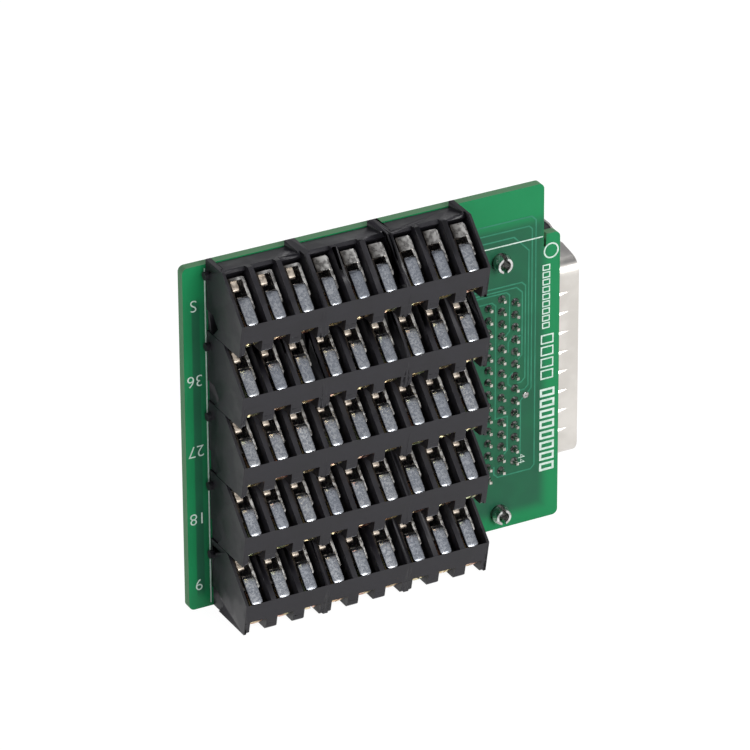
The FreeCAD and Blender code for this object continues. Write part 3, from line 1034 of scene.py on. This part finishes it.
@dataclass(frozen=True)
class SlantedPlane:
    """The plane across a pole's slanted face, placed by its clamp screw's head."""

    screw_depth: float = 4.05
    head_face: float = 11.83621

    def points(
        self, poles: np.ndarray, across: np.ndarray, depth: np.ndarray, down: np.ndarray
    ) -> np.ndarray:
        """Carry places under the slanted face over to the frame.

        A place is its pole's head face, less the depth still to go along the depth direction
        (0, S, -S) and less the distance still to go along the face's (0, -S, -S), where S is
        the sine of 45 degrees.

        Args:
            poles: Places of the head faces, one for each row of the other arrays.
            across: X from the pole's middle, in millimetres.
            depth: Depth under the face, in millimetres.
            down: Distance down the face, in millimetres.

        Returns:
            Points of the frame.
        """
        out = (self.screw_depth - depth) * SLOPE * MM
        rise = (self.head_face - down) * SLOPE * MM
        x, y, z = np.moveaxis(poles[:, None, None, :], -1, 0)
        return np.stack((x + across * MM, y - out + rise, z + out + rise), axis=-1)


@dataclass(frozen=True)
class SheetSection:
    """The rounded rectangle that is carried along a bent sheet's middle line."""

    thickness: float
    edge: float
    sides: int = 16

    def along(
        self, line: np.ndarray, half_widths: np.ndarray
    ) -> tuple[np.ndarray, np.ndarray, np.ndarray]:
        """Carry the section along a line.

        Args:
            line: Depth and distance down of the middle line's points.
            half_widths: Half the sheet's width at each point.

        Returns:
            Across, depth and down of each point of each section.
        """
        run = np.gradient(line, axis=0)
        run /= np.linalg.norm(run, axis=1, keepdims=True)
        normal = np.stack((run[:, 1], -run[:, 0]), axis=1)
        turn = (np.arange(self.sides) + 0.5) * 2 * np.pi / self.sides
        flat = half_widths[:, None] - self.edge
        across = flat * np.sign(np.cos(turn)) + self.edge * np.cos(turn)
        off = (self.thickness / 2 - self.edge) * np.sign(np.sin(turn)) + self.edge * np.sin(turn)
        depth = line[:, None, 0] + normal[:, None, 0] * off
        down = line[:, None, 1] + normal[:, None, 1] * off
        return across, depth, down


@dataclass
class GuardLeaves:
    """The bent tin leaves, one in each pole."""

    depth: float = 1.2
    leg: float = 4.2
    bend: float = 0.6
    end: float = 9.2
    leg_end: float = 6.1
    width: float = 2.16
    leg_width: float = 1.95
    corner: float = 0.5
    turn_steps: int = 7
    plate_steps: int = 8
    leg_steps: int = 6
    leg_from: float = 0.1
    lean_spread: float = 0.010
    palest: float = 0.8
    section: SheetSection = SheetSection(0.4, 0.17)

    def centre_line(self) -> np.ndarray:
        """Work out the leaf's middle line, from the plate's lower end to the leg's.

        The plate is straight, the bend is a quarter circle, and the leg is straight again.
        The points crowd towards the lower end as a cosine does, where its corners are round.

        Returns:
            Depth and distance down of each point.
        """
        quarter = np.linspace(0.0, np.pi / 2, self.turn_steps)
        foot = self.end - self.corner * (1 - np.cos(quarter))
        rest = np.linspace(self.end - self.corner, self.leg + self.bend, self.plate_steps)
        plate = np.concatenate((foot, rest[1:]))
        turn = quarter[1:]
        bent_depth = self.depth + self.bend * (1 - np.cos(turn))
        bent_down = self.leg + self.bend * (1 - np.sin(turn))
        bent = np.stack((bent_depth, bent_down), axis=1)
        leg = np.linspace(self.depth + self.bend, self.leg_end, self.leg_steps)[1:]
        straight = np.stack((np.full(len(plate), self.depth), plate), axis=1)
        flat = np.stack((leg, np.full(len(leg), self.leg)), axis=1)
        return np.vstack((straight, bent, flat))

    def half_widths(self, line: np.ndarray) -> np.ndarray:
        """Work out half the leaf's width along its middle.

        It follows a quarter circle at the lower end and is straight after that.

        Args:
            line: Depth and distance down of the middle line's points.

        Returns:
            Half the width at each point.
        """
        inside = np.clip((self.end - line[:, 1]) / self.corner, 0.0, 1.0)
        wide = self.width / 2 - self.corner * (1 - np.sqrt(1 - (1 - inside) ** 2))
        return np.where(line[:, 0] > self.depth + self.leg_from, self.leg_width / 2, wide)

    def build(self, poles: np.ndarray, plane: SlantedPlane) -> None:
        """Make the leaves one piece in place of the plain ones.

        Each leaf leans by a small angle of its own and has its own tone.

        Args:
            poles: Places of the clamp screws' head faces.
            plane: The plane that the leaves are drawn in.
        """
        rng = np.random.default_rng(SEED)
        line = self.centre_line()
        across, depth, down = self.section.along(line, self.half_widths(line))
        lean = rng.normal(0.0, self.lean_spread, len(poles))[:, None, None]
        depth = depth + lean * (down - self.leg)
        sections = plane.points(poles, across, depth, down)
        piece = make_piece(
            "wire_guard_leaves", *closed_tubes(sections), made_of(Finish.GUARD), "guard_sheet"
        )
        shades = rng.uniform(0.0, self.palest, len(poles))
        points_each = sections.shape[1] * sections.shape[2]
        mark_points(piece.data, "tone_and_shade", np.repeat(shades, points_each))
        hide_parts("wire_guards")


@dataclass
class ContactStops:
    """The turned-down ends of the solder tabs, which each wire is pressed against in its cage."""

    depth: float = 2.3
    top: float = 1.16
    foot: float = 2.45
    curl: float = 0.3
    width: float = 1.42
    middle: float = -0.33
    straight_steps: int = 3
    curl_steps: int = 6
    section: SheetSection = SheetSection(0.3, 0.1)

    def build(self, poles: np.ndarray, plane: SlantedPlane) -> None:
        """Make all the stops one piece.

        The middle line goes straight down and ends in a quarter circle that turns back.

        Args:
            poles: Places of the clamp screws' head faces.
            plane: The plane that the stops are drawn in.
        """
        turn = np.linspace(0.0, np.pi / 2, self.curl_steps)[1:]
        heights = np.linspace(self.top, self.foot, self.straight_steps)
        straight = np.stack((np.full(self.straight_steps, self.depth), heights), axis=1)
        curled_depth = self.depth + self.curl * (1 - np.cos(turn))
        curled_down = self.foot + self.curl * np.sin(turn)
        curled = np.stack((curled_depth, curled_down), axis=1)
        line = np.vstack((straight, curled))
        across, depth, down = self.section.along(line, np.full(len(line), self.width / 2))
        sections = plane.points(poles, across + self.middle, depth, down)
        make_piece("contact_stops", *closed_tubes(sections), made_of(Finish.STOP), "tinned_sheet")


@dataclass(frozen=True)
class Nudge:
    """A box in the board's millimetres, and how far the points inside it move."""

    low: tuple[float, float, float]
    high: tuple[float, float, float]
    move: tuple[float, float, float]


# The solder tails' three columns, and the board's holes for them.
TAIL_NUDGES = (
    Nudge((55.2, -9.0, 8.0), (56.5, 20.0, 46.0), (-0.05, 0.0, 0.0)),
    Nudge((57.5, -9.0, 8.0), (58.8, 20.0, 46.0), (0.20, 0.0, 0.0)),
    Nudge((59.8, -9.0, 8.0), (61.1, 20.0, 46.0), (0.45, 0.0, 0.0)),
)
# The board's right edge, the notch's left side and the notch's ledge.
NOTCH_NUDGES = (
    Nudge((67.5, -9.0, -9.0), (70.0, 9.0, 70.0), (0.3, 0.0, 0.0)),
    Nudge((64.9, -9.0, 50.5), (66.05, 9.0, 70.0), (0.2, 0.0, 0.0)),
    Nudge((65.95, -9.0, 49.5), (70.0, 9.0, 50.65), (0.0, 0.0, 2.5)),
)
# The flange's inner face, which makes the flange thinner, and the body's face against it.
FLANGE_NUDGES = (Nudge((68.40, -9.0, -9.0), (68.50, 30.0, 70.0), (0.4, 0.0, 0.0)),)


def open_welded(mesh: bpy.types.Mesh) -> bmesh.types.BMesh:
    """Open a mesh for editing, with points that coincide merged.

    Args:
        mesh: The mesh.

    Returns:
        Its editable shape.
    """
    shape = bmesh.new()
    shape.from_mesh(mesh)
    bmesh.ops.remove_doubles(shape, verts=shape.verts, dist=WELD)
    return shape


def close_shape(shape: bmesh.types.BMesh, mesh: bpy.types.Mesh) -> None:
    """Write an edited shape back to its mesh and free it."""
    shape.to_mesh(mesh)
    shape.free()


@dataclass
class SoftenedSolids:
    """Copies of the frame's solids, with points moved to their shown places and soft edges."""

    width: float = 0.06
    segments: int = 2
    angle: float = 35.0
    nudges: tuple[Nudge, ...] = ()
    flat_first: bool = True
    plane: BoardPlane = field(default_factory=BoardPlane.from_frame)

    def build(
        self, name: str, node: str, finish: bpy.types.Material, slot: str, body: str = BODY
    ) -> bpy.types.Object:
        """Copy a solid, merge its points, move them and round its edges.

        Args:
            name: Name of the new piece.
            node: The solid that it stands for.
            finish: Its material.
            slot: The record's material slot, which is not used.
            body: The body that it rides on.

        Returns:
            The new piece.
        """
        mesh = frame["nodes"][node].data.copy()
        mesh.name = name
        shape = open_welded(mesh)
        self.cut(shape)
        if self.flat_first:
            self.flatten(shape)
        close_shape(shape, mesh)
        self.plane.write(mesh, self.reshape(self.plane.read(mesh)))
        shape = open_welded(mesh)
        if not self.flat_first:
            self.flatten(shape)
        close_shape(shape, mesh)
        piece = finish_piece(name, mesh, finish, self.angle, body)
        if self.width:
            soften_edges(piece, self.width, self.segments, self.angle)
        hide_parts(node)
        return piece

    def flatten(self, shape: bmesh.types.BMesh) -> None:
        """Join the triangles of each flat face."""
        bmesh.ops.dissolve_limit(shape, angle_limit=FLAT, verts=shape.verts, edges=shape.edges)

    def cut(self, shape: bmesh.types.BMesh) -> None:
        """Cut the solid before its points move, which most solids don't need."""

    def reshape(self, places: np.ndarray) -> np.ndarray:
        """Move the points that lie in the nudges' boxes.

        Args:
            places: Points in the board's millimetres.

        Returns:
            The moved points.
        """
        moved = places.copy()
        for nudge in self.nudges:
            inside = np.all((places > nudge.low) & (places < nudge.high), axis=1)
            moved[inside] += nudge.move
        return moved


@dataclass
class TaperedHousing(SoftenedSolids):
    """A row of terminal housings, whose front face falls back towards its foot."""

    depth: float = 12.55
    band: float = 5.95
    taper: float = 1.25
    tolerance: float = 0.0001

    def cut(self, shape: bmesh.types.BMesh) -> None:
        """Cut the front away along a plane that leans in from the band's upper edge to the foot.

        The cut leaves one open outline in each module, and each is closed by flat faces.

        Args:
            shape: The housings, in the frame's metres.
        """
        bottom = min(vertex.co.z for vertex in shape.verts)
        edge = Vector((0.0, self.plane.front - self.depth * MM, bottom + self.band * MM))
        normal = Vector((0.0, -self.band, -self.taper)).normalized()
        bmesh.ops.bisect_plane(
            shape,
            geom=[*shape.verts, *shape.edges, *shape.faces],
            dist=self.tolerance * MM,
            plane_co=edge,
            plane_no=normal,
            clear_outer=True,
        )
        rims = [side for side in shape.edges if side.is_boundary]
        bmesh.ops.triangle_fill(shape, use_beauty=True, edges=rims)


@dataclass
class DimpledShell(SoftenedSolids):
    """The plug's shell, with dimples that run out to a point."""

    flat_first: bool = False
    dimple_end: float = 73.45
    dimple_pitch: float = 3.65
    lowest: float = 13.745
    middle: float = 7.875
    half_height: float = 4.18
    wall: float = 0.4
    split: float = 3.83
    tolerance: float = 0.01

    def reshape(self, places: np.ndarray) -> np.ndarray:
        """Draw the square end of each dimple together into one point on the shell's face.

        A point at the square ends moves to its dimple's middle line, and to the outer or
        inner face of the wall, whichever its dimple is pressed into.

        Args:
            places: Points in the board's millimetres.

        Returns:
            The moved points.
        """
        moved = super().reshape(places)
        ends = np.abs(places[:, 0] - self.dimple_end) < self.tolerance
        off = places[ends, 1] - self.middle
        skin = np.where(np.abs(off) > self.split, self.half_height, self.half_height - self.wall)
        count = np.round((places[ends, 2] - self.lowest) / self.dimple_pitch)
        moved[ends, 1] = self.middle + np.sign(off) * skin
        moved[ends, 2] = self.lowest + count * self.dimple_pitch
        return moved


@dataclass
class ClampScrew(SoftenedSolids):
    """A clamp screw with a smaller head, which stands a little further in on its axis."""

    face: np.ndarray = field(default_factory=lambda: np.zeros(3))
    head: float = 1.65
    slide: float = 0.55
    narrowing: float = 0.727
    tolerance: float = 0.01

    def along(self, places: np.ndarray) -> np.ndarray:
        """How far points lie in from the head's face."""
        return (places - self.face) @ SCREW_AXIS

    def behind_head(self, places: np.ndarray) -> np.ndarray:
        """Tell the points that lie further in than the moved head."""
        return self.along(places) > self.head + self.slide + self.tolerance

    def reshape(self, places: np.ndarray) -> np.ndarray:
        """Draw the head in towards its axis and slide it along, and leave the tip.

        A point of the head keeps its distance along the axis, has its distance from the axis
        multiplied by the narrowing, and then moves along the axis by the slide.

        Args:
            places: Points in the board's millimetres.

        Returns:
            The moved points.
        """
        along = self.along(places)
        head = along < self.head
        on_axis = self.face + along[head, None] * SCREW_AXIS
        narrowed = on_axis + (places[head] - on_axis) * self.narrowing
        places[head] = narrowed + self.slide * SCREW_AXIS
        return places


@dataclass
class FrontTeeth:
    """The blocks between the screws along each row's foot, which give it its toothed edge."""

    plane: BoardPlane
    start: float = 4.2
    pitch: float = 5.0
    poles: int = 9
    rows: int = 5
    row_pitch: float = 12.7
    half_gap: float = 1.5
    height: float = 2.35
    curtain_top: float = 3.6
    curtain_width: float = 4.0
    curtain: float = 0.015
    back: float = -8.1
    proud: float = 0.005
    foot: float = 0.03
    end_gap: float = 0.04
    chamfer: float = 0.35
    setback: float = 0.04
    softness: float = 0.01
    smooth: float = 20.0

    def build(self, finish: bpy.types.Material) -> None:
        """Make all the blocks and lips one piece.

        Each block is its side outline, carried from one gap's side to the next gap's.

        Args:
            finish: Their material.
        """
        middles = self.start + (np.arange(self.poles) + 0.5) * self.pitch
        end = self.start + self.poles * self.pitch
        lefts = np.append(self.start + self.end_gap, middles + self.half_gap)
        rights = np.append(middles - self.half_gap, end - self.end_gap)
        housing = TaperedHousing()
        front = housing.taper - housing.depth - self.proud
        lean = housing.taper * self.height / housing.band
        outline = np.array(
            (
                (self.back, self.foot),
                (front + self.chamfer, self.foot),
                (front - self.setback, self.foot + self.chamfer),
                (front - lean, self.height),
                (self.back, self.height),
            )
        )
        points, faces = closed_tubes(self.carry(outline, lefts, rights))
        lips, lip_faces = closed_tubes(self.curtains(middles, housing))
        faces += [[number + len(points) for number in face] for face in lip_faces]
        points = np.vstack((points, lips))
        piece = make_piece("terminal_teeth", points, faces, finish, "housing", self.smooth)
        soften_edges(piece, self.softness)

    def curtains(self, middles: np.ndarray, housing: TaperedHousing) -> np.ndarray:
        """Thin lips on the leaning front that close the upper part of each screw's arch.

        Args:
            middles: The poles' places along the board, in millimetres.
            housing: The housing whose front they lie on.

        Returns:
            Sections for closed_tubes.
        """
        up = np.array((self.height, self.height, self.curtain_top, self.curtain_top))
        face = housing.taper * (1.0 - up / housing.band) - housing.depth
        back = face + np.array((-self.proud, self.curtain, self.curtain, -self.proud))
        half = self.curtain_width / 2
        return self.carry(np.stack((back, up), axis=1), middles - half, middles + half)

    def carry(self, outline: np.ndarray, lefts: np.ndarray, rights: np.ndarray) -> np.ndarray:
        """Carry a side outline along the board between pairs of places, in every row.

        Args:
            outline: Depth behind the board's front and height over the row's foot.
            lefts: Where each block begins along the board, in millimetres.
            rights: Where it ends.

        Returns:
            Sections for closed_tubes.
        """
        feet = np.arange(self.rows) * self.row_pitch
        across = np.stack((lefts, rights), axis=1)[None, :, :, None]
        up = outline[:, 1] + feet[:, None, None, None]
        sections = self.plane.points(across, up, -outline[:, 0])
        return sections.reshape(-1, 2, len(outline), 3)


@dataclass(frozen=True)
class Lamp:
    """A soft lamp that looks at the object."""

    name: str
    place: tuple[float, float, float]
    size: float
    watts: float

    def build(self, target: Vector) -> None:
        """Hang the lamp.

        Args:
            target: The place that it points at.
        """
        data = bpy.data.lights.new(self.name, "AREA")
        data.size = self.size
        data.energy = self.watts
        lamp = put_in_scene(self.name, data)
        lamp.location = self.place
        lamp.rotation_euler = (target - Vector(self.place)).to_track_quat("-Z", "Y").to_euler()


# A large key lamp in front, and weaker ones behind the right and at the left.
LAMPS = (
    Lamp("key", (0.25, -1.00, 0.45), 0.55, 9.0),
    Lamp("rim", (0.75, 0.25, 0.55), 0.4, 4.0),
    Lamp("side", (-0.90, -0.25, 0.50), 0.35, 2.0),
)


@dataclass
class Studio:
    """The camera, the lamps, the pale floor and the white surroundings."""

    eye: tuple[float, float, float] = (-0.39795, -0.74417, 0.47517)
    right: tuple[float, float, float] = (0.88195, -0.47132, -0.00450)
    up: tuple[float, float, float] = (0.22193, 0.40683, 0.88614)
    forward: tuple[float, float, float] = (0.41582, 0.78253, -0.46340)
    lens: float = 278.9
    sensor: float = 36.0
    far_clip: float = 100.0
    floor_size: float = 12.0
    floor_rough: float = 0.9
    floor_grain: float = 40.0
    floor_dark: tuple[float, float, float] = (0.86, 0.86, 0.86)
    floor_light: tuple[float, float, float] = (0.89, 0.89, 0.89)
    floor_glow: float = 1.12
    glow_share: float = 0.85
    fill: float = 0.55
    white: tuple[float, float, float] = (1.0, 1.0, 1.0)
    upper_sky: tuple[float, float, float] = (0.46, 0.48, 0.52)
    overhead: tuple[float, float, float] = (0.12, 0.12, 0.13)
    sky_falls: tuple[float, float] = (0.1, 0.8)
    overhead_falls: tuple[float, float] = (0.84, 0.95)

    def camera(self) -> None:
        """Set up the camera at the photograph's place and make it the scene's."""
        data = bpy.data.cameras.new("camera")
        data.lens = self.lens
        data.sensor_width = self.sensor
        data.clip_end = self.far_clip
        camera = put_in_scene("camera", data)
        axes = (Vector(self.right), Vector(self.up), -Vector(self.forward))
        turn = Matrix(axes).transposed().to_4x4()
        camera.matrix_world = Matrix.Translation(Vector(self.eye)) @ turn
        bpy.context.scene.camera = camera

    def floor(self) -> None:
        """Lay a pale floor that shows white to the camera and keeps a faint shadow."""
        half = self.floor_size / 2
        mesh = bpy.data.meshes.new("floor")
        mesh.from_pydata(
            [(-half, -half, 0.0), (half, -half, 0.0), (half, half, 0.0), (-half, half, 0.0)],
            [],
            [(0, 1, 2, 3)],
        )
        made, sheet, shader = start_material("pale_floor")
        sheet.preset(shader, {"Roughness": self.floor_rough})
        place = sheet.add("ShaderNodeTexCoord").outputs["Object"]
        grain = sheet.noise(place, self.floor_grain)
        tint = sheet.remap(grain.outputs["Fac"], *NOISE_RANGE, 0.0, 1.0)
        colour = sheet.blend(tint, self.floor_dark, self.floor_light)
        sheet.join(colour, shader.inputs["Base Color"])
        glow = sheet.add("ShaderNodeEmission")
        sheet.preset(glow, {"Strength": self.floor_glow})
        path = sheet.add("ShaderNodeLightPath")
        seen = sheet.math("MAXIMUM", path.outputs["Is Camera Ray"], path.outputs["Is Glossy Ray"])
        seen = sheet.math("MAXIMUM", seen, path.outputs["Is Transmission Ray"])
        mix = sheet.add("ShaderNodeMixShader")
        sheet.join(sheet.math("MULTIPLY", seen, self.glow_share), mix.inputs[0])
        sheet.join(shader.outputs[0], mix.inputs[1])
        sheet.join(glow.outputs[0], mix.inputs[2])
        sheet.join(mix.outputs[0], made.node_tree.nodes["Material Output"].inputs["Surface"])
        mesh.materials.append(made)
        floor = put_in_scene("floor", mesh)

    def surroundings(self) -> None:
        """Set a white horizon that falls to dark overhead, with camera rays seeing plain white."""
        world = bpy.data.worlds.new("surroundings")
        world.use_nodes = True
        bpy.context.scene.world = world
        sheet = NodeSheet(world.node_tree)
        ground = world.node_tree.nodes["Background"]
        split = sheet.add("ShaderNodeSeparateXYZ")
        sheet.join(sheet.add("ShaderNodeTexCoord").outputs["Generated"], split.inputs[0])
        height = sheet.remap(split.outputs["Z"], *self.sky_falls, 0.0, 1.0)
        colour = sheet.blend(height, self.white, self.upper_sky)
        zenith = sheet.remap(split.outputs["Z"], *self.overhead_falls, 0.0, 1.0)
        colour = sheet.blend(zenith, colour, self.overhead)
        sheet.join(colour, ground.inputs["Color"])
        sheet.preset(ground, {"Strength": self.fill})
        plain = sheet.add("ShaderNodeBackground")
        path = sheet.add("ShaderNodeLightPath")
        mix = sheet.add("ShaderNodeMixShader")
        sheet.join(path.outputs["Is Camera Ray"], mix.inputs[0])
        sheet.join(ground.outputs[0], mix.inputs[1])
        sheet.join(plain.outputs[0], mix.inputs[2])
        sheet.join(mix.outputs[0], world.node_tree.nodes["World Output"].inputs["Surface"])
        plain.inputs["Color"].default_value = (*self.white, 1.0)

    def lamps(self) -> None:
        """Hang the lamps and point them at the object's middle."""
        target = (CAD_BOX[0] + CAD_BOX[1]) / 2
        for lamp in LAMPS:
            lamp.build(target)

    def build(self) -> None:
        """Set up everything round the object."""
        bpy.context.scene.view_settings.view_transform = "Standard"
        self.lamps()
        self.floor()
        self.surroundings()


@dataclass
class BreakoutBoard:
    """The whole object: dressed solids, and the print, solder and leaves added to them."""

    plane: BoardPlane = field(default_factory=BoardPlane.from_frame)
    contacts: Contacts = field(default_factory=Contacts)
    rows: int = 5
    pole_pitch: float = 5.0
    wall_inside: float = 1.0

    def dress_nodes(self) -> None:
        """Give the solids that stay as they are their finishes."""
        plain = {"boardlocks": Finish.LOCK, "threaded_inserts": Finish.INSERT}
        for name, finish in plain.items():
            node = frame["nodes"][name]
            node.data.materials.clear()
            node.data.materials.append(made_of(finish))
            log.info("%s dressed", name)

    def board_and_plug(self) -> None:
        """Put in the board and the plug's pieces."""
        mask = MaskedBoard().material(self.plane)
        SoftenedSolids(0.0, nudges=NOTCH_NUDGES + TAIL_NUDGES).build(
            "board_panel", "circuit_board", mask, "board"
        )
        plastic, plating = made_of(Finish.INSULATOR), made_of(Finish.CONTACT)
        SoftenedSolids(0.1, nudges=FLANGE_NUDGES).build(
            "plug_body", "connector_body", plastic, "insulator"
        )
        SoftenedSolids(0.0, nudges=TAIL_NUDGES).build(
            "plug_contacts", "connector_contacts", plating, "contact_metal"
        )
        steel = made_of(Finish.SHELL)
        DimpledShell(0.06, angle=20.0, nudges=FLANGE_NUDGES).build(
            "plug_shell", "connector_shell", steel, "shell_steel"
        )

    def screws(self) -> None:
        """Put in the clamp screws, each on its own body."""
        finish = PassivatedScrew().material()
        for number, joint in enumerate(frame["joints"], 1):
            face = (np.array(joint["pos_m"]) - self.plane.corner()) / MM
            solid = ClampScrew(0.0, face=face)
            name, node = f"clamping_screw_{number}", f"terminal_screw_{number}"
            piece = solid.build(name, node, finish, "screw", joint["child"])
            behind = solid.behind_head(self.plane.read(piece.data))
            # Marks the shanks, which the finish paints dark as shade.
            mark_points(piece.data, "shank", behind)

    def terminals(self) -> None:
        """Put in the housings and cages, with the leaves, stops and teeth."""
        plastic = made_of(Finish.HOUSING)
        for row in range(1, self.rows + 1):
            name, node = f"terminal_housing_{row}", f"housing_row_{row}"
            TaperedHousing().build(name, node, plastic, "housing")
        FrontTeeth(self.plane).build(plastic)
        poles = np.array([joint["pos_m"] for joint in frame["joints"]])
        tin = made_of(Finish.CAGE)
        rings = SoftenedSolids(0.05, 1).build(
            "wire_cage_rings", "wire_cages", tin, "tinned_sheet"
        )
        self.shade_left_walls(rings, poles)
        slanted = SlantedPlane()
        GuardLeaves().build(poles, slanted)
        ContactStops().build(poles, slanted)

    def shade_left_walls(self, rings: bpy.types.Object, poles: np.ndarray) -> None:
        """Mark the cages' left walls for painted shade, which darkens them.

        A point is marked if it lies more than the given distance to the left of its pole,
        where the poles repeat along X at the pitch.

        Args:
            rings: The cages.
            poles: Places of the clamp screws' head faces.
        """
        places = mesh_points(rings.data)[:, 0]
        pitch = self.pole_pitch * MM
        across = (places - poles[0, 0] + pitch / 2) % pitch - pitch / 2
        # Painted shade: the marked left walls take the cage finish's dark second colour.
        mark_points(rings.data, "tone_and_shade", across < -self.wall_inside * MM)

    def build(self) -> None:
        """Build and dress every piece."""
        self.dress_nodes()
        self.board_and_plug()
        self.terminals()
        self.screws()
        Printing(self.plane).build()
        SolderWork(self.plane, self.contacts).build()


def main() -> None:
    """Set up the studio and build the object."""
    logging.basicConfig(level=logging.INFO)
    studio = Studio()
    studio.camera()
    BreakoutBoard().build()
    studio.build()


if __name__ == "__main__":
    main()
